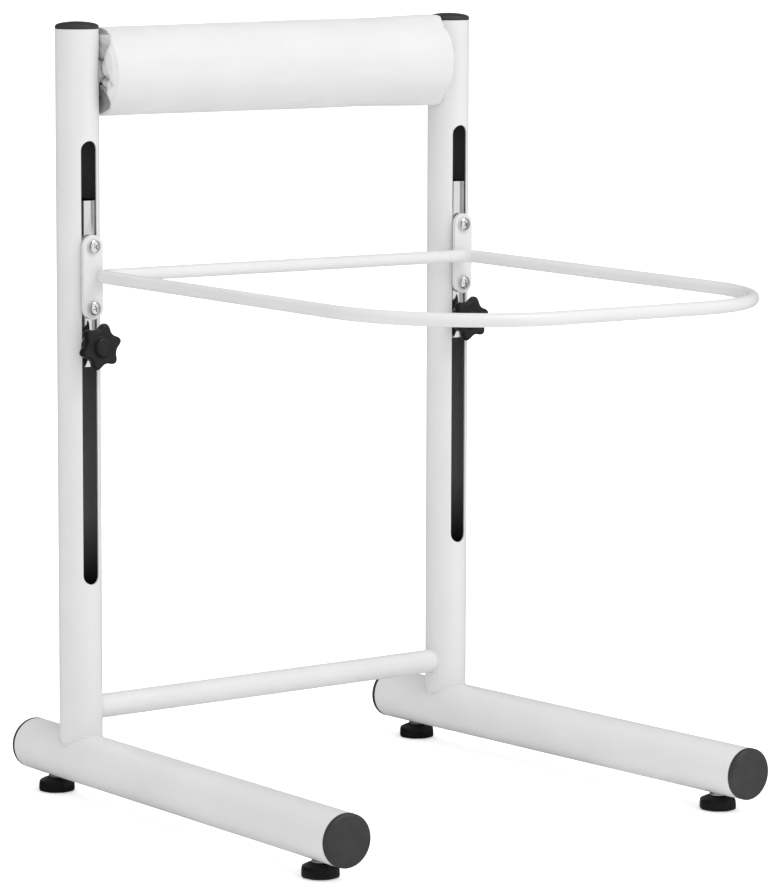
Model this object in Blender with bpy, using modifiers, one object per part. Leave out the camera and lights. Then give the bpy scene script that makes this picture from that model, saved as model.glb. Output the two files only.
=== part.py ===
"""Free-standing hair-wash basin stand: two slotted uprights on splayed floor
runners, a padded neck roll between their tops, and a rectangular basin hoop
that slides up and down the uprights and is clamped by two star knobs.

Metres, +Z up, +X across the stand; the hoop and the long ends of the runners
reach out towards -Y. The origin is on the floor, in the middle of the
bounding box.
"""
import math

import bmesh
import bpy
from mathutils import Matrix, Vector

# ---------------------------------------------------------------- dimensions
CLEAR = 0.0003               # gap left between touching pieces

# uprights
SPACING = 0.540              # between the two upright axes
UPRIGHT_R = 0.025
WALL = 0.002                 # wall of the uprights and runners
UPRIGHT_TOP = 0.8931         # upper end of the tube, under the cap
SLOT_WIDTH = 0.021
SLOT_LOW = 0.2546            # lower and upper ends of the slot
SLOT_HIGH = 0.7666
UPRIGHT_RIM = 0.0047         # straight side of the upright's cap
UPRIGHT_DOME = 0.0038        # rise of the cap's top above that side

# floor runners
RUNNER_R = 0.030
RUNNER_Z = 0.0481            # height of the runner axis
RUNNER_FRONT = 0.5415        # from the upright axis to the front cap's face
RUNNER_REAR = 0.1085         # from the upright axis to the rear cap's face
SPLAY = math.radians(1.9)    # each runner points outwards by this much

# end caps
CAP_FLANGE = 0.0070
CAP_EDGE = 0.0018            # rounding of the runner cap's rim
CAP_PLUG = 0.016
CAP_SHELL = 0.0025

# cross bars and neck roll
LOW_BAR_R = 0.014
LOW_BAR_Z = 0.1056
BAR_WALL = 0.0015
ROLL_Z = 0.8446
ROLL_R = 0.052
ROLL_LENGTH = 0.485
ROLL_SHOULDER = 0.012        # rounding where the side meets the gathered end
COVER_WALL = 0.0012
CORE_BAR_R = 0.014
ROLL_MOUTH_R = 0.021         # gathered opening of the cover round the core bar

# basin hoop, measured from the upright axes
HOOP_R = 0.0075
HOOP_Z = 0.6111
HOOP_BACK = 0.0393           # rear tube axis, in front of the upright axes
HOOP_FRONT = 0.6573          # front tube axis
HOOP_HALF_WIDTH = SPACING / 2
HOOP_REAR_BEND = 0.020
HOOP_FRONT_BEND = 0.1706
HOOP_SAG = math.radians(0.50)   # the long hoop hangs slightly below level
HOOP_TILT = math.radians(0.45)  # and sits slightly lower on its right side

# bracket plates, their screws and the inner sliders
PLATE_Z = 0.6111
PLATE_WIDTH = 0.026
PLATE_LENGTH = 0.097
PLATE_THICK = 0.005
PLATE_BACK = 0.0265          # back face of the plate, in front of the upright axis
SCREW_PITCH = 0.071
SCREW_R = 0.0039
SCREW_HEAD_R = 0.0078
SCREW_HEAD_H = 0.0046
SCREW_END = 0.0060
RECESS_WIDTH = 0.0015        # arms of the cross recess in the screw head
RECESS_LENGTH = 0.0078
RECESS_DEPTH = 0.0025
BORE_R = 0.0042
BUSH_R = 0.0060
SLIDER_R = 0.0225
SLIDER_WALL = 0.0015
SLIDER_LOW = 0.5076
SLIDER_HIGH = 0.6983
NUT_BAR_WIDTH = 0.014
NUT_BAR_THICK = 0.008
NUT_BAR_LENGTH = 0.134
NUT_BAR_FRONT = 0.0193

# clamp knobs
KNOB_Z = 0.5324
KNOB_LOBES = 6
KNOB_TIP_R = 0.0270
KNOB_VALLEY_R = 0.0213
KNOB_PHASE = math.radians(15)   # where the first lobe points when clamped
KNOB_BEVEL = 0.0022
KNOB_BACK = 0.0248           # rear of the hub, in front of the upright axis
KNOB_RIM_BACK = 0.0392
KNOB_RIM_FRONT = 0.0505
KNOB_FACE = 0.0533
KNOB_NECK_R = 0.0115         # hub where it meets the washer
KNOB_HUB_R = 0.0160          # hub where it meets the lobes
KNOB_BOSS_R = 0.0100         # raised round centre on the front
STUD_R = 0.0039
STUD_BACK = 0.0080
STUD_FRONT = 0.0480
WASHER_R = 0.0125
WASHER_BACK = 0.0230         # bears on the two edges of the slot
WASHER_THICK = 0.0015

# levelling feet
PAD_R = 0.0215
PAD_SIDE = 0.0115            # height of the pad's upright side
PAD_HEIGHT = 0.0162
PAD_RECESS_R = 0.0098        # recess in the pad's top, round its washer
PAD_RECESS_Z = 0.0134
PAD_SOCKET_Z = 0.0055
LEVELLER_INSET = 0.0535      # from each runner end face to the foot's axis
STEM_R = 0.0049
STEM_LOW = 0.0060
STEM_TOP = 0.0426
THREAD_BORE_R = 0.0053
FOOT_WASHER_R = 0.0085
FOOT_WASHER_LOW = 0.0138
FOOT_WASHER_HIGH = 0.0164
INSERT_R = 0.0075
INSERT_TOP = 0.0316
INSERT_FLANGE_R = 0.0100

# where the uprights stand, so that the origin is the middle of the box
REACH_FRONT = HOOP_FRONT + HOOP_R
REACH_REAR = RUNNER_REAR * math.cos(SPLAY) + RUNNER_R * math.sin(SPLAY)
UPRIGHT_Y = (REACH_FRONT - REACH_REAR) / 2

SIDES = (("left", -1), ("right", 1))
TURN_TO_X = (0.0, math.pi / 2, 0.0)      # a Z-axis piece laid along +X
TURN_TO_FRONT = (math.pi / 2, 0.0, 0.0)  # a Z-axis piece pointing along -Y

# ------------------------------------------------------------------ clean up
for old in list(bpy.data.objects):
    bpy.data.objects.remove(old, do_unlink=True)

parts = bpy.data.collections.new("basin_stand")
cutters = bpy.data.collections.new("cutters")
bpy.context.scene.collection.children.link(parts)
bpy.context.scene.collection.children.link(cutters)


# ----------------------------------------------------------------- materials
def material(name, colour, roughness, metallic=0.0):
    mat = bpy.data.materials.new(name)
    mat.use_nodes = True
    shader = mat.node_tree.nodes["Principled BSDF"]
    shader.inputs["Base Color"].default_value = (*colour, 1.0)
    shader.inputs["Roughness"].default_value = roughness
    shader.inputs["Metallic"].default_value = metallic
    return mat


WHITE = material("white_powder_coat", (0.80, 0.80, 0.80), 0.42)
CHROME = material("chrome", (0.75, 0.75, 0.76), 0.12, 1.0)
STEEL = material("zinc_steel", (0.55, 0.56, 0.57), 0.35, 1.0)
BLACK = material("black_plastic", (0.016, 0.016, 0.017), 0.45)
GREY = material("dark_grey_plastic", (0.06, 0.06, 0.062), 0.50)
COVER = material("white_cover", (0.84, 0.84, 0.83), 0.55)
FOAM = material("foam", (0.70, 0.68, 0.55), 0.90)


# ------------------------------------------------------------------- helpers
def place(obj, mat, location=(0, 0, 0), rotation=(0, 0, 0)):
    """Give a part its material and place; a piece with no material is a cutter."""
    obj.location = location
    obj.rotation_euler = rotation
    if mat is None:
        cutters.objects.link(obj)
        obj.hide_render = True
        obj.display_type = "WIRE"
    else:
        parts.objects.link(obj)
        obj.data.materials.append(mat)
    return obj


def smooth(obj):
    obj.data.shade_smooth()
    obj.data.set_sharp_from_angle(angle=math.radians(35))


def evaluated_mesh(obj):
    """A new mesh of the object as its modifiers or its curve settings leave it."""
    bpy.context.view_layer.update()
    graph = bpy.context.evaluated_depsgraph_get()
    return bpy.data.meshes.new_from_object(obj.evaluated_get(graph))


def mesh_object(name, form, mat, location=(0, 0, 0), rotation=(0, 0, 0)):
    mesh = bpy.data.meshes.new(name)
    form.to_mesh(mesh)
    form.free()
    return place(bpy.data.objects.new(name, mesh), mat, location, rotation)


def box(name, size, mat, location=(0, 0, 0)):
    form = bmesh.new()
    bmesh.ops.create_cube(form, size=1.0)
    bmesh.ops.scale(form, vec=Vector(size), verts=form.verts)
    return mesh_object(name, form, mat, location)


def cylinder(name, radius, low, high, sides, mat, location=(0, 0, 0), rotation=(0, 0, 0)):
    """A solid round or many-sided bar between two heights on its own Z axis."""
    form = bmesh.new()
    middle = Matrix.Translation((0.0, 0.0, (low + high) / 2))
    bmesh.ops.create_cone(form, cap_ends=True, segments=sides, radius1=radius,
                          radius2=radius, depth=high - low, matrix=middle)
    obj = mesh_object(name, form, mat, location, rotation)
    smooth(obj)
    return obj


def turned(name, profile, steps, mat, location=(0, 0, 0), rotation=(0, 0, 0), closed=False):
    """Turn a profile of (radius, height) points about Z, outer side downwards."""
    mesh = bpy.data.meshes.new(name)
    edges = [(i, i + 1) for i in range(len(profile) - 1)]
    if closed:
        edges.append((len(profile) - 1, 0))
    mesh.from_pydata([(r, 0.0, z) for r, z in profile], edges, [])
    obj = place(bpy.data.objects.new(name, mesh), mat, location, rotation)
    screw = obj.modifiers.new("turn", "SCREW")
    screw.axis = "Z"
    screw.angle = math.tau
    screw.steps = steps
    screw.render_steps = steps
    screw.use_merge_vertices = True
    screw.merge_threshold = 0.00001
    obj.data = evaluated_mesh(obj)
    obj.modifiers.clear()
    smooth(obj)
    return obj


def tube(name, radius, wall, low, high, steps, mat, location=(0, 0, 0), rotation=(0, 0, 0)):
    """A round tube between two heights on its own Z axis."""
    inner = radius - wall
    profile = [(radius, high), (radius, low), (inner, low), (inner, high)]
    return turned(name, profile, steps, mat, location, rotation, closed=True)


def from_curve(name, curve, mat, location=(0, 0, 0), rotation=(0, 0, 0)):
    """Make a welded mesh object from a curve, and remove the curve."""
    source = bpy.data.objects.new(name + "_curve", curve)
    cutters.objects.link(source)
    form = bmesh.new()
    form.from_mesh(evaluated_mesh(source))
    bmesh.ops.remove_doubles(form, verts=form.verts, dist=0.00001)
    bpy.data.objects.remove(source, do_unlink=True)
    obj = mesh_object(name, form, mat, location, rotation)
    smooth(obj)
    return obj


def poly_curve(name, points):
    """A closed curve with straight runs between its points."""
    curve = bpy.data.curves.new(name, "CURVE")
    spline = curve.splines.new("POLY")
    spline.points.add(len(points) - 1)
    for target, point in zip(spline.points, points):
        target.co = (*point, 1.0)
    spline.use_cyclic_u = True
    return curve


def flat_shape(name, outline, thickness, mat, location=(0, 0, 0), rotation=(0, 0, 0),
               bevel=0.0):
    """A flat outline made solid, half its thickness on each side of its plane."""
    curve = poly_curve(name, [(x, y, 0.0) for x, y in outline])
    curve.dimensions = "2D"
    curve.fill_mode = "BOTH"
    curve.extrude = thickness / 2 - bevel
    curve.bevel_depth = bevel
    curve.bevel_resolution = 1
    return from_curve(name, curve, mat, location, rotation)


def arc(centre, radius, start, end, steps):
    """Points on a circle between two angles, both ends included."""
    points = []
    for i in range(steps + 1):
        angle = start + (end - start) * i / steps
        points.append((centre[0] + radius * math.cos(angle),
                       centre[1] + radius * math.sin(angle)))
    return points


def round_ended(low, high, radius, steps):
    """An upright outline with half-round ends."""
    return (arc((0, high - radius), radius, 0, math.pi, steps)
            + arc((0, low + radius), radius, math.pi, math.tau, steps))


def combine(obj, *others, operation="DIFFERENCE"):
    """Cut each other object out of this one, or join it on."""
    for other in others:
        step = obj.modifiers.new(other.name, "BOOLEAN")
        step.operation = operation
        step.solver = "EXACT"
        step.object = other
    return obj


def hang_on(name, location, pieces):
    """Parent pieces that move together to one empty, leaving them in place."""
    pivot = bpy.data.objects.new(name, None)
    pivot.location = location
    pivot.empty_display_size = 0.05
    parts.objects.link(pivot)
    bpy.context.view_layer.update()
    for piece in pieces:
        piece.parent = pivot
        piece.matrix_parent_inverse = pivot.matrix_world.inverted()
    return pivot


# --------------------------------------------------------------- main frame
def runner_point(sign, along, height):
    """A point over the runner's axis, 'along' measured towards its front end."""
    turn = Matrix.Rotation(sign * SPLAY, 3, "Z")
    return Vector((sign * SPACING / 2, UPRIGHT_Y, height)) + turn @ Vector((0.0, -along, 0.0))


def runner_turn(sign, towards_front=True):
    """Rotation that lays a Z-axis piece along the runner."""
    return (math.pi / 2 if towards_front else -math.pi / 2, 0.0, sign * SPLAY)


def leveller_places():
    """Name, side and distance along the runner of each levelling foot."""
    rows = (("front", RUNNER_FRONT - LEVELLER_INSET), ("rear", LEVELLER_INSET - RUNNER_REAR))
    return [(f"{side}_{row}", sign, along) for side, sign in SIDES for row, along in rows]


def build_uprights():
    """Slotted tubes, their feet shaped to sit over the round runners."""
    shortest = RUNNER_Z + math.sqrt(RUNNER_R ** 2 - UPRIGHT_R ** 2)
    for side, sign in SIDES:
        foot = (sign * SPACING / 2, UPRIGHT_Y, 0.0)
        body = tube(f"{side}_upright", UPRIGHT_R, WALL, shortest - 0.004, UPRIGHT_TOP, 48,
                    WHITE, foot)
        slot = flat_shape(f"{side}_slot_cutter",
                          round_ended(SLOT_LOW, SLOT_HIGH, SLOT_WIDTH / 2, 10),
                          UPRIGHT_R, None, (foot[0], UPRIGHT_Y - UPRIGHT_R, 0.0),
                          TURN_TO_FRONT)
        saddle = cylinder(f"{side}_saddle_cutter", RUNNER_R + CLEAR, -0.08, 0.08, 48, None,
                          (foot[0], UPRIGHT_Y, RUNNER_Z), runner_turn(sign))
        combine(body, slot, saddle)


def build_runners():
    for side, sign in SIDES:
        body = tube(f"{side}_floor_runner", RUNNER_R, WALL, CAP_FLANGE - RUNNER_REAR,
                    RUNNER_FRONT - CAP_FLANGE, 48, WHITE,
                    runner_point(sign, 0, RUNNER_Z), runner_turn(sign))
        for name, owner, along in leveller_places():
            if owner == sign:
                hole = cylinder(f"{name}_insert_cutter", INSERT_R + CLEAR, 0.0, RUNNER_Z,
                                20, None, runner_point(sign, along, 0))
                combine(body, hole)


def plug_profile(radius):
    """Underside of an end cap: a hollow plug that fits inside the tube."""
    plug = radius - WALL - CLEAR
    return [(plug, CLEAR), (plug, -CAP_PLUG), (plug - CAP_SHELL, -CAP_PLUG),
            (plug - CAP_SHELL, -0.001), (0.0, -0.001)]


def build_runner_caps():
    """Flat plastic end caps with a softened rim."""
    face = [(0.0, CAP_FLANGE), (RUNNER_R - CAP_EDGE, CAP_FLANGE),
            (RUNNER_R - 0.25 * CAP_EDGE, CAP_FLANGE - 0.4 * CAP_EDGE),
            (RUNNER_R, CAP_FLANGE - 1.3 * CAP_EDGE), (RUNNER_R, CLEAR)]
    profile = face + plug_profile(RUNNER_R)
    for side, sign in SIDES:
        turned(f"{side}_front_end_cap", profile, 32, GREY,
               runner_point(sign, RUNNER_FRONT - CAP_FLANGE, RUNNER_Z), runner_turn(sign))
        turned(f"{side}_rear_end_cap", profile, 32, GREY,
               runner_point(sign, CAP_FLANGE - RUNNER_REAR, RUNNER_Z),
               runner_turn(sign, towards_front=False))


def build_upright_caps():
    """Low domed caps that close the uprights."""
    top = UPRIGHT_RIM + UPRIGHT_DOME
    face = [(0.0, top), (0.55 * UPRIGHT_R, UPRIGHT_RIM + 0.72 * UPRIGHT_DOME),
            (0.96 * UPRIGHT_R, UPRIGHT_RIM), (UPRIGHT_R, UPRIGHT_RIM - 0.001),
            (UPRIGHT_R, CLEAR)]
    for side, sign in SIDES:
        turned(f"{side}_upright_cap", face + plug_profile(UPRIGHT_R), 32, GREY,
               (sign * SPACING / 2, UPRIGHT_Y, UPRIGHT_TOP))


def build_cross_bar(name, radius, height):
    """A tube between the uprights, its ends shaped to their round walls."""
    half = SPACING / 2 - UPRIGHT_R + 0.012
    bar = tube(name, radius, BAR_WALL, -half, half, 32, WHITE,
               (0.0, UPRIGHT_Y, height), TURN_TO_X)
    for side, sign in SIDES:
        end = cylinder(f"{name}_{side}_cutter", UPRIGHT_R + CLEAR, -0.04, 0.04, 48, None,
                       (sign * SPACING / 2, UPRIGHT_Y, height))
        combine(bar, end)


# ---------------------------------------------------------------- neck roll
def build_neck_roll():
    """A foam sleeve on the core bar, inside a cover drawn in at both ends."""
    half = ROLL_LENGTH / 2
    bend = ROLL_SHOULDER
    centre = (0.0, UPRIGHT_Y, ROLL_Z)
    corner = (ROLL_R - bend, half - bend)
    outer = [(ROLL_MOUTH_R, half)] + arc(corner, bend, math.pi / 2, 0, 3)
    inner = [(ROLL_MOUTH_R, half - COVER_WALL)]
    inner += arc(corner, bend - COVER_WALL, math.pi / 2, 0, 2)
    outer += [(r, -z) for r, z in reversed(outer)]
    inner += [(r, -z) for r, z in reversed(inner)]
    turned("neck_roll_cover", outer + inner[::-1], 32, COVER, centre, TURN_TO_X, closed=True)

    reach = half - COVER_WALL - CLEAR
    hug = ROLL_R - COVER_WALL - CLEAR
    bore = CORE_BAR_R + CLEAR
    profile = [(bore, reach), (hug - bend, reach), (hug, reach - bend)]
    profile += [(r, -z) for r, z in reversed(profile)]
    turned("neck_roll_foam", profile, 24, FOAM, centre, TURN_TO_X, closed=True)


# --------------------------------------------------- hoop and its brackets
def build_hoop():
    """A closed ring of round tube: tight bends behind, wide bends in front."""
    wide = HOOP_HALF_WIDTH
    back, front = -HOOP_BACK, -HOOP_FRONT
    r1, r2 = HOOP_REAR_BEND, HOOP_FRONT_BEND
    half_route = arc((wide - r1, back - r1), r1, math.pi / 2, 0, 6)
    half_route += arc((wide - r2, front + r2), r2, 0, -math.pi / 2, 14)
    route = half_route + [(-x, y) for x, y in reversed(half_route)]
    slope = math.tan(HOOP_SAG)
    curve = poly_curve("basin_hoop", [(x, y, (y - back) * slope - x * math.tan(HOOP_TILT))
                                       for x, y in route])
    curve.dimensions = "3D"
    curve.bevel_depth = HOOP_R
    curve.bevel_resolution = 4
    return from_curve("basin_hoop", curve, WHITE, (0.0, UPRIGHT_Y, HOOP_Z))


def build_bush(name, location):
    """Spacer that runs in the slot, between the slider and the plate."""
    return tube(name, BUSH_R, BUSH_R - BORE_R, SLIDER_R + CLEAR, PLATE_BACK - CLEAR, 16,
                STEEL, location, TURN_TO_FRONT)


def build_screw(name, location):
    """Pan-head screw with a cross recess, pointing back into the upright."""
    seat = PLATE_BACK + PLATE_THICK + CLEAR
    top = seat + SCREW_HEAD_H
    profile = [(0.0, top), (0.6 * SCREW_HEAD_R, top - 0.0003),
               (0.9 * SCREW_HEAD_R, top - 0.0013), (SCREW_HEAD_R, top - 0.0028),
               (SCREW_HEAD_R, seat), (SCREW_R, seat), (SCREW_R, SCREW_END), (0.0, SCREW_END)]
    screw = turned(name, profile, 18, CHROME, location, TURN_TO_FRONT)
    centre = (location[0], location[1] - top, location[2])
    across = box(f"{name}_recess_across", (RECESS_LENGTH, 2 * RECESS_DEPTH, RECESS_WIDTH),
                 None, centre)
    upright = box(f"{name}_recess_upright", (RECESS_WIDTH, 2 * RECESS_DEPTH, RECESS_LENGTH),
                  None, centre)
    combine(screw, across, upright)
    return [screw, across, upright]


def build_bracket(side, sign):
    """The plate that carries the hoop, screwed to a slider inside the upright."""
    x = sign * SPACING / 2
    plate = flat_shape(f"{side}_bracket_plate",
                       round_ended(-PLATE_LENGTH / 2, PLATE_LENGTH / 2, PLATE_WIDTH / 2, 12),
                       PLATE_THICK, WHITE,
                       (x, UPRIGHT_Y - PLATE_BACK - PLATE_THICK / 2, PLATE_Z), TURN_TO_FRONT)
    slider = tube(f"{side}_inner_slider", SLIDER_R, SLIDER_WALL, SLIDER_LOW, SLIDER_HIGH,
                  40, CHROME, (x, UPRIGHT_Y, 0.0))
    bar = box(f"{side}_nut_bar", (NUT_BAR_WIDTH, NUT_BAR_THICK, NUT_BAR_LENGTH), STEEL,
              (x, UPRIGHT_Y - NUT_BAR_FRONT + NUT_BAR_THICK / 2,
               (KNOB_Z + PLATE_Z + SCREW_PITCH / 2) / 2))
    pieces = [plate, slider, bar]
    for level, offset in (("upper", SCREW_PITCH / 2), ("lower", -SCREW_PITCH / 2)):
        axis = (x, UPRIGHT_Y, PLATE_Z + offset)
        bore = cylinder(f"{side}_{level}_bore", BORE_R, 0.001, 0.040, 16, None, axis,
                        TURN_TO_FRONT)
        for drilled in (plate, slider, bar):
            combine(drilled, bore)
        pieces += [bore, build_bush(f"{side}_{level}_bush", axis)]
        pieces += build_screw(f"{side}_{level}_screw", axis)
    stud_bore = cylinder(f"{side}_stud_bore", BORE_R, 0.001, 0.040, 16, None,
                         (x, UPRIGHT_Y, KNOB_Z), TURN_TO_FRONT)
    combine(slider, stud_bore)
    combine(bar, stud_bore)
    return pieces + [stud_bore]


# -------------------------------------------------------------- clamp knobs
def star_outline(tip, valley, lobes, steps):
    """A star with narrow round lobes and wide hollows between them."""
    points = []
    for i in range(steps):
        angle = math.tau * i / steps
        swing = (1 + math.cos(lobes * (angle - KNOB_PHASE))) / 2
        radius = valley + (tip - valley) * swing ** 1.35
        points.append((radius * math.cos(angle), radius * math.sin(angle)))
    return points


def build_clamp(side, sign):
    """Star knob on a threaded stud, with the washer that bears on the slot."""
    axis = (sign * SPACING / 2, UPRIGHT_Y, KNOB_Z)
    outline = star_outline(KNOB_TIP_R - KNOB_BEVEL, KNOB_VALLEY_R - KNOB_BEVEL, KNOB_LOBES, 42)
    knob = flat_shape(f"{side}_clamp_knob", outline, KNOB_RIM_FRONT - KNOB_RIM_BACK, BLACK,
                      axis, TURN_TO_FRONT, KNOB_BEVEL)
    knob.data.transform(Matrix.Translation((0, 0, (KNOB_RIM_FRONT + KNOB_RIM_BACK) / 2)))
    profile = [(0.0, KNOB_FACE), (0.85 * KNOB_BOSS_R, KNOB_FACE),
               (KNOB_BOSS_R, KNOB_FACE - 0.0014), (KNOB_BOSS_R, KNOB_RIM_FRONT - 0.004),
               (KNOB_HUB_R, KNOB_RIM_BACK + 0.002), (KNOB_HUB_R, KNOB_RIM_BACK - 0.001),
               (KNOB_NECK_R, KNOB_BACK), (0.0, KNOB_BACK)]
    hub = turned(f"{side}_knob_hub", profile, 22, None, axis, TURN_TO_FRONT)
    bore = cylinder(f"{side}_knob_bore", BORE_R, 0.020, STUD_FRONT + CLEAR, 16, None, axis,
                    TURN_TO_FRONT)
    combine(knob, hub, operation="UNION")
    combine(knob, bore)
    stud = cylinder(f"{side}_knob_stud", STUD_R, STUD_BACK, STUD_FRONT, 16, STEEL, axis,
                    TURN_TO_FRONT)
    washer = tube(f"{side}_knob_washer", WASHER_R, WASHER_R - BORE_R, WASHER_BACK,
                  WASHER_BACK + WASHER_THICK, 24, STEEL, axis, TURN_TO_FRONT)
    return hang_on(f"{side}_clamp", axis, [knob, hub, bore, stud, washer])


def build_carriage():
    """Everything that slides on the uprights together with the hoop."""
    pieces = [build_hoop()]
    for side, sign in SIDES:
        pieces += build_bracket(side, sign)
        pieces.append(build_clamp(side, sign))
    hang_on("hoop_carriage", (0.0, UPRIGHT_Y, PLATE_Z), pieces)


# ---------------------------------------------------------- levelling feet
def build_pad(name, location):
    """Moulded pad: upright side, sloped top, recess for the nut, socket for the stem."""
    profile = [(0.0, PAD_SOCKET_Z), (THREAD_BORE_R, PAD_SOCKET_Z),
               (THREAD_BORE_R, PAD_RECESS_Z), (PAD_RECESS_R, PAD_RECESS_Z),
               (PAD_RECESS_R, PAD_HEIGHT), (PAD_RECESS_R + 0.0012, PAD_HEIGHT),
               (PAD_R - 0.0010, PAD_SIDE), (PAD_R, 0.0015), (PAD_R - 0.0010, 0.0),
               (0.0, 0.0)]
    return turned(name, profile, 28, BLACK, location)


def build_foot_washer(name, location):
    """Plain thick washer that lies in the pad's recess, round the stem."""
    washer = cylinder(name, FOOT_WASHER_R, FOOT_WASHER_LOW, FOOT_WASHER_HIGH, 24,
                      STEEL, location)
    bore = cylinder(f"{name}_bore", THREAD_BORE_R, 0.0, 0.03, 16, None, location)
    combine(washer, bore)
    return washer


def build_insert(name, location):
    """Flanged threaded sleeve, set in the underside of the runner."""
    flange_low = FOOT_WASHER_HIGH + CLEAR
    flange_high = RUNNER_Z - RUNNER_R - CLEAR
    profile = [(INSERT_R, INSERT_TOP), (INSERT_R, flange_high),
               (INSERT_FLANGE_R, flange_high), (INSERT_FLANGE_R, flange_low),
               (THREAD_BORE_R, flange_low), (THREAD_BORE_R, INSERT_TOP)]
    turned(name, profile, 16, STEEL, location, closed=True)


def build_levellers():
    for name, sign, along in leveller_places():
        spot = runner_point(sign, along, 0)
        pad = build_pad(f"{name}_foot_pad", spot)
        stem = cylinder(f"{name}_foot_stem", STEM_R, STEM_LOW, STEM_TOP, 16, STEEL, spot)
        washer = build_foot_washer(f"{name}_foot_washer", spot)
        hang_on(f"{name}_leveller", spot, [washer, pad, stem])
        build_insert(f"{name}_foot_insert", spot)


build_uprights()
build_runners()
build_runner_caps()
build_upright_caps()
build_cross_bar("lower_cross_bar", LOW_BAR_R, LOW_BAR_Z)
build_cross_bar("neck_roll_core_bar", CORE_BAR_R, ROLL_Z)
build_neck_roll()
build_carriage()
build_levellers()
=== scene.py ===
"""Looks of the hair-wash basin stand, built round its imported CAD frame.

Powder-coated tube, chrome sliders, moulded knobs, caps and feet, and a padded
neck roll whose cloth cover is gathered in at both ends. Metres, +Z up, the
hoop reaches out towards -Y.
"""
import math
import random

import bmesh
import bpy
from mathutils import Matrix, Vector, noise


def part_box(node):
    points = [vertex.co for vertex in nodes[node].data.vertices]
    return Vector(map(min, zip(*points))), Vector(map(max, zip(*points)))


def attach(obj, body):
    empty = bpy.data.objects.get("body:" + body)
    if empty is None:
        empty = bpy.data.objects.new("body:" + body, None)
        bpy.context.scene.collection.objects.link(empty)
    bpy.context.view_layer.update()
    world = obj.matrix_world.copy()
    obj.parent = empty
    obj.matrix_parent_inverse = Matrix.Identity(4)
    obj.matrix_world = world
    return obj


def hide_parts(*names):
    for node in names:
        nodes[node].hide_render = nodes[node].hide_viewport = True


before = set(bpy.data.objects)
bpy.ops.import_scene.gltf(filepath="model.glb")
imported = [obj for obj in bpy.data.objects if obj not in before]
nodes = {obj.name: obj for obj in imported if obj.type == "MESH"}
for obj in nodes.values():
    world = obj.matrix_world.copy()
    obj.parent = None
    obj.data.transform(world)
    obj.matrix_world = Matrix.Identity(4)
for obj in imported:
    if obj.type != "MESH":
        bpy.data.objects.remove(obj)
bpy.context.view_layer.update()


def middle(node):
    low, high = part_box(node)
    return (low + high) / 2


def half(node, axis):
    """Half of a node's extent along the axis "x", "y" or "z"."""
    low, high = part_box(node)
    return (getattr(high, axis) - getattr(low, axis)) / 2


# ------------------------------------------------ dimensions, from the frame
SIGN = {"left": -1, "right": 1}
STAND_Y = middle("left_upright").y       # both uprights stand at this Y
HALF_SPACING = middle("right_upright").x
UPRIGHT_R = half("left_upright", "x")
UPRIGHT_WALL = 0.002
RUNNER_R = half("left_floor_runner", "z")
RUNNER_Z = middle("left_floor_runner").z
SPLAY = math.radians(1.9)                # the runners spread towards the front
ROLL = middle("neck_roll_cover")
ROLL_R = half("neck_roll_cover", "z")
ROLL_HALF = half("neck_roll_cover", "x")
BAR_R = half("lower_cross_bar", "z")
BAR_Z = middle("lower_cross_bar").z
KNOB_Z = middle("left_knob_stud").z
PAD_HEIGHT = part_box("left_front_foot_pad")[1].z

TO_FRONT = Matrix.Rotation(math.pi / 2, 4, "X")     # a +Z piece turned to point along -Y


# ------------------------------------------------------------- node building
class Shader:
    """A material with a few short ways to add and link its nodes."""

    def __init__(self, name):
        self.material = bpy.data.materials.new(name)
        self.material.use_nodes = True
        self.tree = self.material.node_tree
        self.main = self.tree.nodes["Principled BSDF"]

    def node(self, kind, inputs=None, **settings):
        made = self.tree.nodes.new(kind)
        for key, value in settings.items():
            setattr(made, key, value)
        for key, value in (inputs or {}).items():
            if isinstance(value, bpy.types.NodeSocket):
                self.tree.links.new(value, made.inputs[key])
            else:
                made.inputs[key].default_value = value
        return made

    def set(self, **values):
        for key, value in values.items():
            socket = self.main.inputs[key.replace("_", " ")]
            if isinstance(value, bpy.types.NodeSocket):
                self.tree.links.new(value, socket)
            else:
                socket.default_value = value

    def place(self):
        """Coordinates in metres that stay with the piece as it moves."""
        return self.node("ShaderNodeTexCoord").outputs["Object"]

    def noise(self, where, scale, detail):
        made = self.node("ShaderNodeTexNoise",
                         {"Vector": where, "Scale": scale, "Detail": detail})
        return made.outputs["Fac"]

    def maths(self, operation, *values):
        made = self.node("ShaderNodeMath", operation=operation)
        for socket, value in zip(made.inputs, values):
            if isinstance(value, bpy.types.NodeSocket):
                self.tree.links.new(value, socket)
            else:
                socket.default_value = value
        return made.outputs[0]

    def ramp(self, factor, stops):
        """Colours at positions from 0 to 1; a plain number is a grey."""
        made = self.node("ShaderNodeValToRGB", {"Fac": factor})
        elements = made.color_ramp.elements
        while len(elements) < len(stops):
            elements.new(0.5)
        for element, (position, colour) in zip(elements, stops):
            grey = isinstance(colour, (int, float))
            element.position = position
            element.color = (colour,) * 3 + (1.0,) if grey else (*colour, 1.0)
        return made.outputs["Color"]

    def spread(self, factor, low, high):
        """A number from low to high that follows a noise, which lies mostly in 0.3 to 0.7."""
        made = self.node("ShaderNodeMapRange",
                         {"Value": factor, "From Min": 0.3, "From Max": 0.7,
                          "To Min": low, "To Max": high})
        return made.outputs["Result"]

    def bump(self, height, distance, strength, under=None):
        inputs = {"Height": height, "Distance": distance, "Strength": strength}
        if under is not None:
            inputs["Normal"] = under
        return self.node("ShaderNodeBump", inputs).outputs["Normal"]


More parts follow.
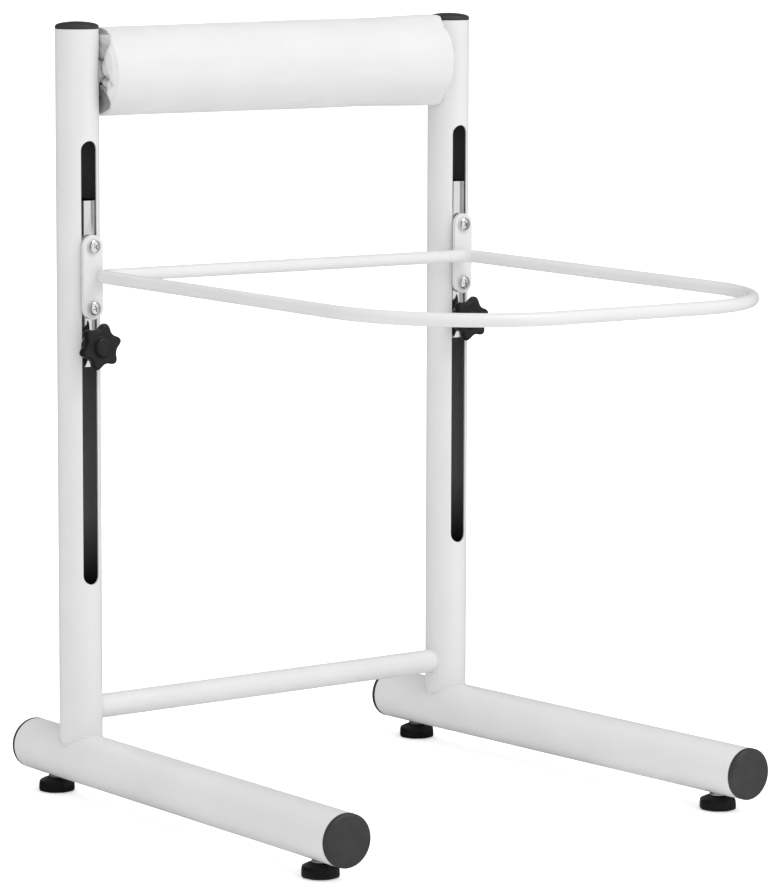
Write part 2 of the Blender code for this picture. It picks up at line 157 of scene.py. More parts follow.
# ----------------------------------------------------------------- materials
def powder_coat(name, bore_steel_and_shade=False):
    """White powder coat: faint orange peel and specks, very slightly cloudy."""
    s = Shader(name)
    where = s.place()
    cloudy = s.noise(where, 9.0, 3.0)
    peel = s.noise(where, 620.0, 2.0)
    speck = s.noise(where, 2600.0, 1.0)
    colour = s.ramp(cloudy, [(0.35, (0.655, 0.657, 0.660)), (0.65, (0.690, 0.691, 0.692))])
    rough = s.spread(peel, 0.36, 0.44)
    normal = s.bump(peel, 0.00012, 0.35)
    normal = s.bump(speck, 0.00003, 0.25, normal)
    if bore_steel_and_shade:
        # inside the uprights: bare steel with painted shade, darkest near the slot's lower end
        bore = bore_mask(s, where)
        colour = s.node("ShaderNodeMix", {"Factor": bore, "A": colour, "B": bore_steel_and_shade_tone(s, where)},
                        data_type="RGBA").outputs["Result"]
        rough = s.node("ShaderNodeMix", {"Factor": bore, "A": rough, "B": 0.55}).outputs[0]
    s.set(Base_Color=colour, Roughness=rough, Normal=normal, Specular_IOR_Level=0.45,
          Coat_Weight=0.12, Coat_Roughness=0.25)
    return s.material


def bore_steel_and_shade_tone(s, where):
    """Bare steel inside the uprights with painted shade by height: darkest near the slot's lower
    end.
    """
    height = s.node("ShaderNodeSeparateXYZ", {"Vector": where}).outputs["Z"]
    share = s.node("ShaderNodeMapRange", {"Value": height, "From Min": 0.20,
                                          "From Max": 0.80}).outputs["Result"]
    return s.ramp(share, [(0.08, 0.018), (0.22, 0.20), (0.50, 0.19), (0.85, 0.11)])


def bore_mask(s, where):
    """1 on the unpainted inner wall of the two uprights, 0 outside it."""
    split = s.node("ShaderNodeSeparateXYZ", {"Vector": where})
    across = s.maths("SUBTRACT", s.maths("ABSOLUTE", split.outputs["X"]), HALF_SPACING)
    deep = s.maths("SUBTRACT", split.outputs["Y"], STAND_Y)
    squared = s.maths("ADD", s.maths("MULTIPLY", across, across),
                      s.maths("MULTIPLY", deep, deep))
    inner = UPRIGHT_R - 0.9 * UPRIGHT_WALL
    return s.maths("LESS_THAN", squared, inner * inner)


def chrome(name):
    """Bright plate over tube with faint drawing lines along its length."""
    s = Shader(name)
    where = s.place()
    stretched = s.node("ShaderNodeMapping", {"Vector": where, "Scale": (900.0, 900.0, 3.0)})
    lines = s.noise(stretched.outputs["Vector"], 1.0, 2.0)
    smear = s.noise(where, 40.0, 3.0)
    s.set(Base_Color=s.ramp(smear, [(0.3, (0.76, 0.77, 0.78)), (0.7, (0.83, 0.83, 0.84))]),
          Roughness=s.spread(smear, 0.07, 0.13), Metallic=1.0,
          Normal=s.bump(lines, 0.00002, 0.12))
    return s.material


def zinc_steel(name):
    """Dull zinc plate with a faint crystalline mottle."""
    s = Shader(name)
    where = s.place()
    mottle = s.node("ShaderNodeTexVoronoi", {"Vector": where, "Scale": 900.0})
    fine = s.noise(where, 300.0, 4.0)
    s.set(Base_Color=s.ramp(mottle.outputs["Distance"],
                            [(0.0, (0.50, 0.51, 0.53)), (0.9, (0.64, 0.65, 0.66))]),
          Roughness=s.spread(fine, 0.26, 0.40), Metallic=1.0,
          Normal=s.bump(fine, 0.00005, 0.3))
    return s.material


def moulded_plastic(name, dark, light, rough, grain, grain_depth, specular=0.4):
    """Moulded plastic with a spark-eroded grain and an uneven sheen."""
    s = Shader(name)
    where = s.place()
    cloudy = s.noise(where, 60.0, 3.0)
    pits = s.node("ShaderNodeTexVoronoi", {"Vector": where, "Scale": grain})
    fine = s.noise(where, 2.2 * grain, 2.0)
    normal = s.bump(pits.outputs["Distance"], grain_depth, 0.5)
    normal = s.bump(fine, 0.5 * grain_depth, 0.4, normal)
    s.set(Base_Color=s.ramp(cloudy, [(0.3, dark), (0.7, light)]),
          Roughness=s.spread(fine, rough - 0.05, rough + 0.06), Normal=normal,
          Specular_IOR_Level=specular)
    return s.material


def coated_cloth(name, dark, light):
    """Soft white coated cloth: fine pebble grain over a hint of the weave."""
    s = Shader(name)
    where = s.place()
    cloudy = s.noise(where, 18.0, 4.0)
    pebble = s.node("ShaderNodeTexVoronoi", {"Vector": where, "Scale": 780.0},
                    feature="SMOOTH_F1")
    weave = s.node("ShaderNodeTexWave", {"Vector": where, "Scale": 520.0, "Distortion": 1.2,
                                         "Detail": 1.0}, bands_direction="X")
    normal = s.bump(weave.outputs["Fac"], 0.00004, 0.20)
    normal = s.bump(pebble.outputs["Distance"], 0.00014, 0.35, normal)
    s.set(Base_Color=s.ramp(cloudy, [(0.3, dark), (0.7, light)]),
          Roughness=s.spread(cloudy, 0.50, 0.60), Normal=normal,
          Specular_IOR_Level=0.35, Sheen_Weight=0.15, Sheen_Roughness=0.5)
    return s.material


def grey_end_patch(name):
    """Flat mid grey with a knitted grain, for patches on the gathered ends."""
    s = Shader(name)
    where = s.place()
    loops = s.node("ShaderNodeTexVoronoi", {"Vector": where, "Scale": 1000.0})
    cloudy = s.noise(where, 60.0, 3.0)
    s.set(Base_Color=s.ramp(cloudy, [(0.3, (0.30, 0.30, 0.30)), (0.7, (0.36, 0.36, 0.36))]),
          Roughness=0.9, Normal=s.bump(loops.outputs["Distance"], 0.0003, 0.6),
          Sheen_Weight=0.2)
    return s.material


def thread_material(name):
    """White sewing thread with its twist."""
    s = Shader(name)
    twist = s.node("ShaderNodeTexWave", {"Vector": s.place(), "Scale": 900.0},
                   bands_direction="DIAGONAL")
    s.set(Base_Color=s.ramp(twist.outputs["Fac"], [(0.2, 0.62), (0.8, 0.80)]),
          Roughness=0.7, Normal=s.bump(twist.outputs["Fac"], 0.0001, 0.5))
    return s.material


COAT = powder_coat("white_powder_coat_look")
COAT_BORED = powder_coat("white_powder_coat_dark_bore", bore_steel_and_shade=True)
CHROME = chrome("chrome_look")
STEEL = zinc_steel("zinc_steel_look")
KNOB_BLACK = moulded_plastic("knob_black", (0.0045, 0.0045, 0.005), (0.0075, 0.0075, 0.008),
                             0.40, 1500.0, 0.00008)
PAD_BLACK = moulded_plastic("pad_black", (0.0035, 0.0035, 0.004), (0.0065, 0.0065, 0.007),
                            0.42, 1200.0, 0.00010, 0.25)
CAP_GREY = moulded_plastic("cap_grey", (0.034, 0.034, 0.035), (0.042, 0.042, 0.043),
                           0.50, 1000.0, 0.00014, 0.3)
CLOTH = coated_cloth("white_cover_look", (0.652, 0.651, 0.648), (0.678, 0.677, 0.675))
# the same cloth in a lighter tone for the gathered ends: painted light on their folds
CLOTH_END_PAINTED_LIGHT = coated_cloth("white_cover_end_painted_light", (0.715, 0.714, 0.711), (0.745, 0.744, 0.742))
GREY_END = grey_end_patch("cover_lining_look")
THREAD = thread_material("white_thread")


# ------------------------------------------------- finishing the CAD pieces
def weld_and_smooth():
    """Geometry nodes that weld a faceted import and shade its round parts smooth."""
    group = bpy.data.node_groups.new("weld_and_smooth", "GeometryNodeTree")
    for direction in ("INPUT", "OUTPUT"):
        group.interface.new_socket("Geometry", in_out=direction,
                                   socket_type="NodeSocketGeometry")
    add, link = group.nodes.new, group.links.new
    start, end = add("NodeGroupInput"), add("NodeGroupOutput")
    weld = add("GeometryNodeMergeByDistance")
    weld.inputs["Distance"].default_value = 0.00001
    faces = add("GeometryNodeSetShadeSmooth")
    edges = add("GeometryNodeSetShadeSmooth")
    edges.domain = "EDGE"
    bend = add("GeometryNodeInputMeshEdgeAngle")
    gentle = add("FunctionNodeCompare")
    gentle.operation = "LESS_THAN"
    gentle.inputs["B"].default_value = math.radians(32)
    link(start.outputs[0], weld.inputs["Geometry"])
    link(weld.outputs["Geometry"], faces.inputs["Geometry"])
    link(faces.outputs["Geometry"], edges.inputs["Geometry"])
    link(bend.outputs["Unsigned Angle"], gentle.inputs["A"])
    link(gentle.outputs["Result"], edges.inputs["Shade Smooth"])
    link(edges.outputs["Geometry"], end.inputs[0])
    return group


WELD_AND_SMOOTH = weld_and_smooth()


def finish_node(name, material, edge=0.0):
    """Give a CAD piece its material, smooth shading and softened edges."""
    node = nodes[name]
    # the import's flat normals would hide the smooth shading
    if "custom_normal" in node.data.attributes:
        node.data.attributes.remove(node.data.attributes["custom_normal"])
    for slot in node.material_slots:
        slot.material = material
    smooth = node.modifiers.new("weld_and_smooth", "NODES")
    smooth.node_group = WELD_AND_SMOOTH
    if edge:
        bevel = node.modifiers.new("soft_edges", "BEVEL")
        bevel.width = edge
        bevel.segments = 2
        bevel.limit_method = "ANGLE"
        bevel.angle_limit = math.radians(40)
        bevel.harden_normals = True


def finish_cad_pieces():
    for side in ("left", "right"):
        finish_node(f"{side}_upright", COAT_BORED)
        finish_node(f"{side}_floor_runner", COAT)
        finish_node(f"{side}_bracket_plate", COAT, 0.0016)
        finish_node(f"{side}_inner_slider", CHROME)
        finish_node(f"{side}_nut_bar", STEEL)
        finish_node(f"{side}_knob_stud", STEEL)
        finish_node(f"{side}_knob_washer", STEEL)
        for level in ("upper", "lower"):
            finish_node(f"{side}_{level}_bush", STEEL)
        for row in ("front", "rear"):
            finish_node(f"{side}_{row}_foot_insert", STEEL)
            finish_node(f"{side}_{row}_foot_washer", STEEL, 0.0003)
            finish_node(f"{side}_{row}_foot_stem", STEEL)
    finish_node("lower_cross_bar", COAT)
    finish_node("neck_roll_core_bar", COAT)


# ------------------------------------------------------------- mesh building
def new_piece(name, form, material, body):
    """A mesh piece from a bmesh, riding on a CAD body."""
    mesh = bpy.data.meshes.new(name)
    form.to_mesh(mesh)
    form.free()
    mesh.shade_smooth()
    piece = bpy.data.objects.new(name, mesh)
    bpy.context.scene.collection.objects.link(piece)
    mesh.materials.append(material)
    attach(piece, body)
    return piece


def sharpen(piece, degrees=40):
    """Shade the edges that bend more than this as sharp."""
    piece.data.set_sharp_from_angle(angle=math.radians(degrees))


def apply_modifiers(piece):
    """Replace the piece's mesh by its evaluated one."""
    bpy.context.view_layer.update()
    graph = bpy.context.evaluated_depsgraph_get()
    mesh = bpy.data.meshes.new_from_object(piece.evaluated_get(graph))
    piece.modifiers.clear()
    piece.data = mesh
    mesh.shade_smooth()


def bridge(form, upper, lower, steps):
    """Faces between two rings of vertices; a ring of one vertex closes to a point."""
    for k in range(steps):
        after = (k + 1) % steps
        corners = [upper[k % len(upper)], lower[k % len(lower)],
                   lower[after % len(lower)], upper[after % len(upper)]]
        form.faces.new(list(dict.fromkeys(corners)))


def turned_form(profile, steps, matrix=Matrix.Identity(4)):
    """Turn (radius, height) points about Z; points on the axis become one vertex."""
    form = bmesh.new()
    rings = []
    for radius, height in profile:
        if radius == 0:
            rings.append([form.verts.new((0.0, 0.0, height))])
        else:
            rings.append([form.verts.new((radius * math.cos(math.tau * k / steps),
                                          radius * math.sin(math.tau * k / steps), height))
                          for k in range(steps)])
    for upper, lower in zip(rings, rings[1:]):
        bridge(form, upper, lower, steps)
    form.transform(matrix)
    form.normal_update()
    return form


def rounded(points, radius, steps=4):
    """A (radius, height) profile with its inner corners rounded off."""
    result = [points[0]]
    for before, corner, after in zip(points, points[1:], points[2:]):
        at = Vector(corner)
        back, on = Vector(before) - at, Vector(after) - at
        reach = min(radius, 0.45 * back.length, 0.45 * on.length)
        start, end = at + back.normalized() * reach, at + on.normalized() * reach
        for k in range(steps + 1):
            t = k / steps
            result.append(tuple(start * (1 - t) ** 2 + at * 2 * t * (1 - t) + end * t ** 2))
    result.append(points[-1])
    return result


def tube_form(route, radius, sides, closed=False):
    """A round tube along a list of points, swept without twisting."""
    form = bmesh.new()
    count = len(route)
    rings = []
    side = None
    for i, point in enumerate(route):
        before = route[i - 1] if closed or i else point
        after = route[(i + 1) % count] if closed or i < count - 1 else point
        along = (Vector(after) - Vector(before)).normalized()
        if side is None:
            side = along.orthogonal()
        side = (side - along * side.dot(along)).normalized()
        up = along.cross(side)
        ring = []
        for k in range(sides):
            a = math.tau * k / sides
            out = side * math.cos(a) + up * math.sin(a)
            ring.append(form.verts.new(Vector(point) + radius * out))
        rings.append(ring)
    pairs = list(zip(rings, rings[1:]))
    if closed:
        # a closed route may come back turned by some angle: join by the nearest vertices
        first, last = rings[0], rings[-1]
        shift = min(range(sides), key=lambda k: (first[k].co - last[0].co).length)
        pairs.append((last, first[shift:] + first[:shift]))
    for one, two in pairs:
        for k in range(sides):
            after = (k + 1) % sides
            form.faces.new((one[k], one[after], two[after], two[k]))
    if not closed:
        form.faces.new(list(reversed(rings[0])))
        form.faces.new(rings[-1])
    form.normal_update()
    return form


def arc(centre, radius, start, end, steps):
    """Points of a flat arc between two angles, both ends among them."""
    points = []
    for k in range(steps + 1):
        angle = start + (end - start) * k / steps
        points.append((centre[0] + radius * math.cos(angle),
                       centre[1] + radius * math.sin(angle)))
    return points


# --------------------------------------------------------------- basin hoop
HOOP_R = 0.0075
HOOP_Z = 0.6111
HOOP_BACK = 0.0393
HOOP_FRONT = 0.6573
HOOP_REAR_BEND = 0.020
HOOP_FRONT_BEND = 0.1706
HOOP_SAG = math.radians(0.50)       # its front hangs slightly low
HOOP_TILT = math.radians(0.45)      # and so does its right side


def build_hoop():
    """The closed ring of round tube, on the same line as its CAD piece."""
    wide, back, front = HALF_SPACING, -HOOP_BACK, -HOOP_FRONT
    r1, r2 = HOOP_REAR_BEND, HOOP_FRONT_BEND
    right = arc((wide - r1, back - r1), r1, math.pi / 2, 0, 12)
    straight_end = front + r2
    right += [(wide, back - r1 + (straight_end - back + r1) * k / 8) for k in range(1, 8)]
    right += arc((wide - r2, straight_end), r2, 0, -math.pi / 2, 36)
    flat = right + [(-x, y) for x, y in reversed(right)]
    slope = math.tan(HOOP_SAG)
    lean = math.tan(HOOP_TILT)
    route = [(x, STAND_Y + y, HOOP_Z + (y - back) * slope - x * lean) for x, y in flat]
    hoop = new_piece("hoop_tube", tube_form(route, HOOP_R, 32, closed=True), COAT,
                     "hoop_carriage")
    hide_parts("basin_hoop")


# --------------------------------------------------------------------- welds
WELD_R = 0.0013
WELD_LIFT = 0.0004           # of the bead's centre from each tube
WELD_RIPPLE = 0.00008


def weld_bead(name, route, body):
    """A painted weld: a thin closed bead along a joint between two tubes."""
    rng = random.Random(name)
    wavy = []
    for point in route:
        ripple = Vector((rng.uniform(-1, 1), rng.uniform(-1, 1), rng.uniform(-1, 1)))
        wavy.append(Vector(point) + WELD_RIPPLE * ripple)
    new_piece(name, tube_form(wavy, WELD_R, 10, closed=True), COAT, body)


def upright_weld_route(side, steps=120):
    """Where an upright's foot meets the runner under it, which is splayed."""
    runner_turn = Matrix.Rotation(SIGN[side] * SPLAY, 3, "Z")
    foot_r = UPRIGHT_R + WELD_LIFT
    route = []
    for k in range(steps):
        a = math.tau * k / steps
        out = Vector((math.cos(a), math.sin(a), 0.0))
        local = runner_turn.inverted() @ (out * foot_r)
        rise = math.sqrt((RUNNER_R + WELD_LIFT) ** 2 - local.x ** 2)
        route.append((SIGN[side] * HALF_SPACING + out.x * foot_r, STAND_Y + out.y * foot_r,
                      RUNNER_Z + rise))
    return route


def bar_weld_route(side, height, steps=48):
    """Where a cross bar meets the inner side of an upright."""
    route = []
    for k in range(steps):
        a = math.tau * k / steps
        y, z = BAR_R * math.cos(a), BAR_R * math.sin(a)
        gap = math.sqrt((UPRIGHT_R + WELD_LIFT) ** 2 - y * y)
        route.append((SIGN[side] * (HALF_SPACING - gap), STAND_Y + y, height + z))
    return route


def build_welds():
    for side in SIGN:
        weld_bead(f"{side}_upright_weld", upright_weld_route(side), "stand")
        weld_bead(f"{side}_low_bar_weld", bar_weld_route(side, BAR_Z), "stand")
        weld_bead(f"{side}_core_bar_weld", bar_weld_route(side, ROLL.z), "stand")


# ------------------------------------------------------------------ end caps
CAP_THICK = 0.0070
CAP_BEVEL = 0.0026
CAP_STEP = 0.0003            # fine gap between a cap's rim and the tube's end
CAP_ROUND = 0.0006
CAP_RIM = 0.0047             # straight rim of the upright's cap, under its dome
PLUG_IN = 0.0023             # the plug under a cap is this much inside the tube
PLUG_BORE_IN = 0.005


def cap_plug(radius, end, depth):
    """Profile of the hollow plug that holds a cap in a tube ending at this height."""
    return [(radius - PLUG_IN, end - depth), (radius - PLUG_BORE_IN, end - depth),
            (radius - PLUG_BORE_IN, end - 0.001), (0.0, end - 0.001)]


def build_runner_caps():
    """Flat-faced plastic caps with a bevelled rim and a fine step to the tube."""
    face = rounded([(0.0, CAP_THICK), (RUNNER_R - CAP_BEVEL, CAP_THICK),
                    (RUNNER_R, CAP_THICK - 0.8 * CAP_BEVEL), (RUNNER_R, CAP_STEP),
                    (RUNNER_R - PLUG_IN, CAP_STEP)], CAP_ROUND, 3)
    profile = face + cap_plug(RUNNER_R, 0.0, 0.012)
    for side in SIGN:
        turn = Matrix.Rotation(SIGN[side] * SPLAY, 4, "Z")
        for row, facing in (("front", 1), ("rear", -1)):
            node = f"{side}_{row}_end_cap"
            low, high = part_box(node)
            along = turn @ Vector((0.0, -facing, 0.0))
            centre = (low + high) / 2
            centre.z = RUNNER_Z
            reach = (high.y - low.y) - 2 * RUNNER_R * math.sin(SPLAY)
            at = centre + along * (reach / math.cos(SPLAY) / 2 - CAP_THICK)
            spin = turn @ Matrix.Rotation(facing * math.pi / 2, 4, "X")
            form = turned_form(profile, 96, Matrix.Translation(at) @ spin)
            cap = new_piece(f"{side}_{row}_runner_cap", form, CAP_GREY, "stand")
            sharpen(cap, 25)
            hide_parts(node)


def upright_cap_profile(top, seat):
    """(radius, height) of a domed cap from its top down to the tube's end, the seat."""
    shoulder = seat + CAP_RIM
    rise = top - seat - CAP_RIM
    dome = [(0.0, shoulder + rise)]
    for k in range(1, 9):
        a = k * math.pi / 16
        dome.append((0.955 * UPRIGHT_R * math.sin(a), shoulder + rise * math.cos(a) ** 1.3))
    rim = rounded([dome[-1], (UPRIGHT_R, shoulder - 0.0010), (UPRIGHT_R, seat + CAP_STEP),
                   (UPRIGHT_R - PLUG_IN, seat + CAP_STEP)], CAP_ROUND, 3)
    return dome[:-1] + rim + cap_plug(UPRIGHT_R, seat, 0.014)


def build_upright_caps():
    """Low domed plastic caps with a straight rim."""
    for side in SIGN:
        node = f"{side}_upright_cap"
        profile = upright_cap_profile(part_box(node)[1].z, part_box(f"{side}_upright")[1].z)
        axis = Matrix.Translation((SIGN[side] * HALF_SPACING, STAND_Y, 0.0))
        cap = new_piece(f"{side}_top_cap", turned_form(profile, 96, axis), CAP_GREY,
                        "stand")
        sharpen(cap)
        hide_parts(node)


# ----------------------------------------------------------- levelling feet
PAD_FLATS = 8
PAD_FLAT_FROM = 0.011        # inside this radius the pad is plainly round
# (radius, height, how eight-sided) from the bore over the top to the underside
PAD_OUTLINE = ((0.0053, 0.0060, 0), (0.0053, 0.0134, 0), (0.0098, 0.0134, 0),
               (0.0098, PAD_HEIGHT - 0.0004, 0), (0.0101, PAD_HEIGHT, 0),
               (0.0107, PAD_HEIGHT, 0), (0.0114, PAD_HEIGHT - 0.0004, 0.1),
               (0.0150, 0.0146, 0.3), (0.0190, 0.0125, 0.7), (0.0201, 0.0117, 1),
               (0.0207, 0.0108, 1), (0.0211, 0.0085, 1), (0.0213, 0.0050, 1),
               (0.0214, 0.0024, 1), (0.0212, 0.0012, 1), (0.0206, 0.0003, 1),
               (0.0196, 0.0, 1), (0.0190, 0.0, 1), (0.0184, 0.0008, 1), (0.0, 0.0008, 0))


def pad_radius(radius, angle, flat):
    """Radius at an angle, with the pad's side drawn towards an octagon."""
    step = math.tau / PAD_FLATS
    off = (angle + 0.2) % step - step / 2
    octagon = math.cos(step / 2) / math.cos(off)
    return radius * (1 + flat * 0.45 * (octagon - 0.965))


def pad_form(steps=96):
    form = turned_form([(r, z) for r, z, _ in PAD_OUTLINE], steps)
    flatness = {round(z, 6): flat for _, z, flat in PAD_OUTLINE}
    for vertex in form.verts:
        radius = math.hypot(vertex.co.x, vertex.co.y)
        if radius < PAD_FLAT_FROM:
            continue
        angle = math.atan2(vertex.co.y, vertex.co.x)
        new = pad_radius(radius, angle, flatness[round(vertex.co.z, 6)])
        vertex.co.x *= new / radius
        vertex.co.y *= new / radius
    return form


def build_foot_pads():
    """Moulded pads: faintly eight-sided skirt, conical top, recess for the washer."""
    for side in SIGN:
        for row in ("front", "rear"):
            node = f"{side}_{row}_foot_pad"
            centre = middle(node)
            form = pad_form()
            form.transform(Matrix.Translation((centre.x, centre.y, 0.0)))
            pad = new_piece(f"{side}_{row}_levelling_pad", form, PAD_BLACK,
                            f"{side}_{row}_foot")
            sharpen(pad)
            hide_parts(node)


# ------------------------------------------------------------------- knobs
KNOB_LOBES = 6
KNOB_TIP_R = 0.0274
KNOB_VALLEY_R = 0.0208
KNOB_PHASE = math.radians(15)
KNOB_HUB_BACK = 0.0248
KNOB_RIM_BACK = 0.0386
KNOB_RIM_FRONT = 0.0506
KNOB_FACE = 0.0536
KNOB_BOSS_R = 0.0112
KNOB_BORE_R = 0.0042
KNOB_BORE_END = 0.0484
LOBE_FALL = 0.10             # slope of the lobes from the boss towards their tips


def lobe_radius(angle, shrink=0.0):
    """Radius of the star's outline: narrow round lobes, wide hollow valleys."""
    wave = (1 + math.cos(KNOB_LOBES * (angle - KNOB_PHASE))) / 2
    return KNOB_VALLEY_R + (KNOB_TIP_R - KNOB_VALLEY_R) * wave ** 1.5 - shrink


def knob_rings():
    """(how star-shaped, radius or shrink, height) of each ring, front to back."""
    boss, tip, back, hub = KNOB_BOSS_R, KNOB_RIM_FRONT, KNOB_RIM_BACK, KNOB_HUB_BACK
    face_rings = [(0, 0.0, KNOB_FACE), (0, 0.55 * boss, KNOB_FACE),
                  (0, 0.82 * boss, KNOB_FACE - 0.0002), (0, 0.95 * boss, KNOB_FACE - 0.0008),
                  (0, boss, KNOB_FACE - 0.0020), (0, boss + 0.0002, tip - 0.0008),
                  (0, boss + 0.0012, tip - 0.0016), (0, boss + 0.0026, tip - 0.0014)]
    lobe_rings = [(1, 0.0042, tip - 0.0008), (1, 0.0022, tip - 0.0006),
                  (1, 0.0010, tip - 0.0013), (1, 0.0003, tip - 0.0026), (1, 0.0, tip - 0.0045),
                  (1, 0.0, back + 0.0036), (1, 0.0004, back + 0.0018),
                  (1, 0.0016, back + 0.0006), (1, 0.0034, back)]
    hub_rings = [(0, 0.0152, back - 0.0004), (0, 0.0140, back - 0.0034),
                 (0, 0.0120, hub + 0.0040), (0, 0.0116, hub + 0.0006), (0, 0.0110, hub)]
    bore_rings = [(0, KNOB_BORE_R, hub), (0, KNOB_BORE_R, KNOB_BORE_END),
                  (0, 0.0, KNOB_BORE_END)]
    return face_rings + lobe_rings + hub_rings + bore_rings


def knob_form(steps=144):
    form = bmesh.new()
    rings = []
    for star, size, height in knob_rings():
        if star == 0 and size == 0.0:
            rings.append([form.verts.new((0.0, 0.0, height))])
            continue
        ring = []
        for k in range(steps):
            angle = math.tau * k / steps
            radius = lobe_radius(angle, size) if star else size
            drop = 0.0
            if star and height > (KNOB_RIM_FRONT + KNOB_RIM_BACK) / 2:
                drop = LOBE_FALL * (radius - KNOB_VALLEY_R + 0.004)
            ring.append(form.verts.new((radius * math.cos(angle), radius * math.sin(angle),
                                        height - drop)))
        rings.append(ring)
    for upper, lower in zip(rings, rings[1:]):
        bridge(form, upper, lower, steps)
    form.normal_update()
    return form


def build_knobs():
    """Six-lobed clamp knobs with a round boss, on the front of each upright."""
    for side in SIGN:
        form = knob_form()
        at = Matrix.Translation((SIGN[side] * HALF_SPACING, STAND_Y, KNOB_Z))
        form.transform(at @ TO_FRONT)
        knob = new_piece(f"{side}_star_knob", form, KNOB_BLACK, f"{side}_knob")
        sharpen(knob, 50)
        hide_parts(f"{side}_clamp_knob")


# ------------------------------------------------------------------- screws
SCREW_HEAD_R = 0.0078
SCREW_HEAD_RISE = 0.0046
SCREW_SEAT = 0.0318
SCREW_SHANK_R = 0.0039
RECESS_DEPTH = 0.0032


def screw_form():
    """Pan-head screw, head towards +Z, before its recess is cut."""
    head = [(0.0, SCREW_SEAT + SCREW_HEAD_RISE)]
    head += [(SCREW_HEAD_R * math.sin(a), SCREW_SEAT + 0.0018 + 0.0028 * math.cos(a) ** 0.6)
             for a in (math.pi / 2 * k / 12 for k in range(1, 12))]
    profile = head + [(SCREW_HEAD_R, SCREW_SEAT + 0.0016), (SCREW_HEAD_R, SCREW_SEAT + 0.0002),
                      (SCREW_HEAD_R - 0.0003, SCREW_SEAT), (SCREW_SHANK_R, SCREW_SEAT),
                      (SCREW_SHANK_R, 0.0066), (0.0034, 0.0060), (0.0, 0.0060)]
    return turned_form(profile, 64)


def recess_form():
    """The tapered cross that the recess is the print of, a little higher than the head."""
    top = SCREW_SEAT + SCREW_HEAD_RISE + 0.0010
    bottom = top - 0.0010 - RECESS_DEPTH
    form = bmesh.new()
    for turn in (0.0, math.pi / 2):
        made = bmesh.ops.create_cube(form, size=1.0)["verts"]
        for vertex in made:
            upper = vertex.co.z > 0
            vertex.co.x *= 0.0088 if upper else 0.0046
            vertex.co.y *= 0.0017 if upper else 0.0010
            vertex.co.z = top if upper else bottom
        bmesh.ops.rotate(form, verts=made, cent=(0, 0, 0),
                         matrix=Matrix.Rotation(turn + 0.35, 3, "Z"))
    return form


def cut_away(piece, form):
    """Cut the shape of a bmesh out of a piece."""
    mesh = bpy.data.meshes.new("driver")
    form.to_mesh(mesh)
    form.free()
    tool = bpy.data.objects.new("driver", mesh)
    bpy.context.scene.collection.objects.link(tool)
    cut = piece.modifiers.new("recess", "BOOLEAN")
    cut.object = tool
    cut.use_self = True
    apply_modifiers(piece)
    bpy.data.objects.remove(tool, do_unlink=True)


def build_screws():
    """Chrome pan-head screws, each stopped at its own angle."""
    for side in SIGN:
        for level in ("upper", "lower"):
            node = f"{side}_{level}_screw"
            centre = middle(node)
            at = Matrix.Translation((centre.x, STAND_Y, centre.z)) @ TO_FRONT
            twist = Matrix.Rotation(random.Random(node).uniform(-0.5, 0.5), 4, "Z")
            form = screw_form()
            form.transform(at)
            screw = new_piece(f"{side}_{level}_pan_screw", form, CHROME, "hoop_carriage")
            driver = recess_form()
            driver.transform(at @ twist)
            cut_away(screw, driver)
            sharpen(screw, 35)
            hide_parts(node)


# ---------------------------------------------------------------- neck roll
COVER_AROUND = 180
COVER_ALONG = 60
COVER_END_RINGS = 22
COVER_MOUTH_R = 0.0153
COVER_RIM = 0.0028           # rounding where the side turns into the end
FOLDS_TURN = 100.0           # degrees that the right end's folds are turned from the left's
GREY_END_SLOT = 1              # the cover's material slots; 0 is its side
END_SLOT = 2
SWELL_STEPS = 18
SWELL_MOST = 0.004           # furthest that the simulation may move a point
# folds round the end, in degrees from the front over the top: from, to, fullness
END_FOLDS = ((-47, -19, 0.80), (-19, 52, 1.00), (52, 98, 0.62), (98, 150, 0.95),
             (150, 205, 0.80), (205, 262, 1.00), (262, 313, 0.45))


def fold_fullness(degrees):
    """How full the gathered cloth stands at an angle: 0 in a crease, up to 1 on a fold."""
    degrees = (degrees + 47) % 360 - 47
    for start, stop, fullness in END_FOLDS:
        if start <= degrees < stop:
            across = (degrees - start) / (stop - start)
            return fullness * math.sin(math.pi * across) ** 0.5
    return 0.0


def ease(value):
    """A smooth step from 0 to 1."""
    value = max(0.0, min(1.0, value))
    return value * value * (3 - 2 * value)


def end_relief(degrees, t, seed):
    """How far the gathered end stands out from the rim, from t=0 there to 1 at the mouth."""
    wander = 5.0 * math.sin(5.0 * t + seed) + 2.5 * math.sin(13.0 * t - seed)
    full = fold_fullness(degrees + wander * min(1.0, 3.0 * t))
    floor = -0.0050 * ease(t / 0.30)
    crown = 0.0112 * ease(t / 0.26) ** 0.8 * (1 - 0.2 * ease((t - 0.84) / 0.16))
    small = 0.0010 * noise.noise(Vector((degrees / 12.0, 6.0 * t, seed))) * min(1.0, 4 * t)
    return floor + crown * full + small


def spare_room(y, outward):
    """How far the soft end reaches past its rim, before and behind the upright."""
    if outward > 0 and y < 0:
        # the right end is drawn in towards the front
        return 0.0050 - 0.0105 * ease((-y - 0.012) / 0.018)
    return 0.0062 * ease((abs(y) - 0.0240) / 0.014)


def most_reach(y):
    """Furthest the cover may go along X at a place before it meets the upright."""
    free = HALF_SPACING + 0.008
    if abs(y) < UPRIGHT_R + 0.0004:
        free = HALF_SPACING - math.sqrt((UPRIGHT_R + 0.0004) ** 2 - y * y)
    return min(free, ROLL_HALF + 0.0085)


def shows_grey_end(degrees, radius):
    """Where the gathered ends are coloured grey: below, and in a flat strip on top."""
    degrees = (degrees + 180) % 360 - 180
    up = radius * math.sin(math.radians(degrees)) / ROLL_R
    forward = radius * math.cos(math.radians(degrees)) / ROLL_R
    top = up > 0.80 and 50 < degrees < 130
    return top or (-130 < degrees < -40 and up + 0.65 * forward < -0.27)


